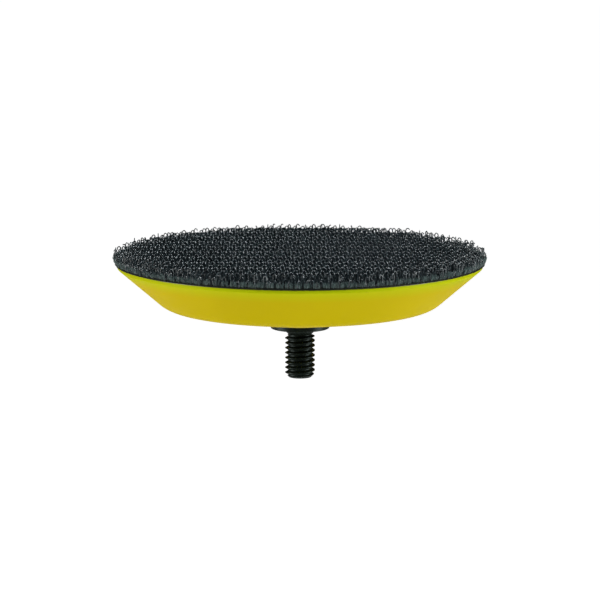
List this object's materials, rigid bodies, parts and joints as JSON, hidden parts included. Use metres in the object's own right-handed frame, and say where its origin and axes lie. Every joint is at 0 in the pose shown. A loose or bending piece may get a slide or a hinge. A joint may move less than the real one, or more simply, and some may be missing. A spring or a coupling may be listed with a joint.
{
  "type": "sander backing pad",
  "caption": "Round hook-and-loop backing pad with a moulded conical body and a central threaded stud; screws into a small sander and grips abrasive discs.",
  "frame": {"origin": "on the stud's axis, in the flange face that seats against the sander's spindle", "axes": "+Z along the stud's axis towards the hook face, so the stud points to -Z; X and Y are equal, and the thread's groove crosses +X just below the origin"},
  "size_m": [0.075, 0.075, 0.026],
  "materials": {
    "hook_nylon": "semi-gloss nylon monofilament, blue-black",
    "ground_cloth": "woven nylon, matt black",
    "bond_adhesive": "thin dark adhesive film",
    "moulded_polyurethane": "satin moulded skin, yellow",
    "glass_laminate": "glass-fibre epoxy laminate",
    "plain_steel": "plain steel",
    "black_steel": "black-oxide steel, lightly oiled"
  },
  "bodies": {
    "root": {"hook_filaments": "hook_nylon", "hook_cloth": "ground_cloth", "bond_film": "bond_adhesive", "pad_body": "moulded_polyurethane", "stiffener_plate": "glass_laminate", "load_washer": "plain_steel", "flange_bush": "black_steel", "threaded_stud": "black_steel"}
  },
  "joints": []
}
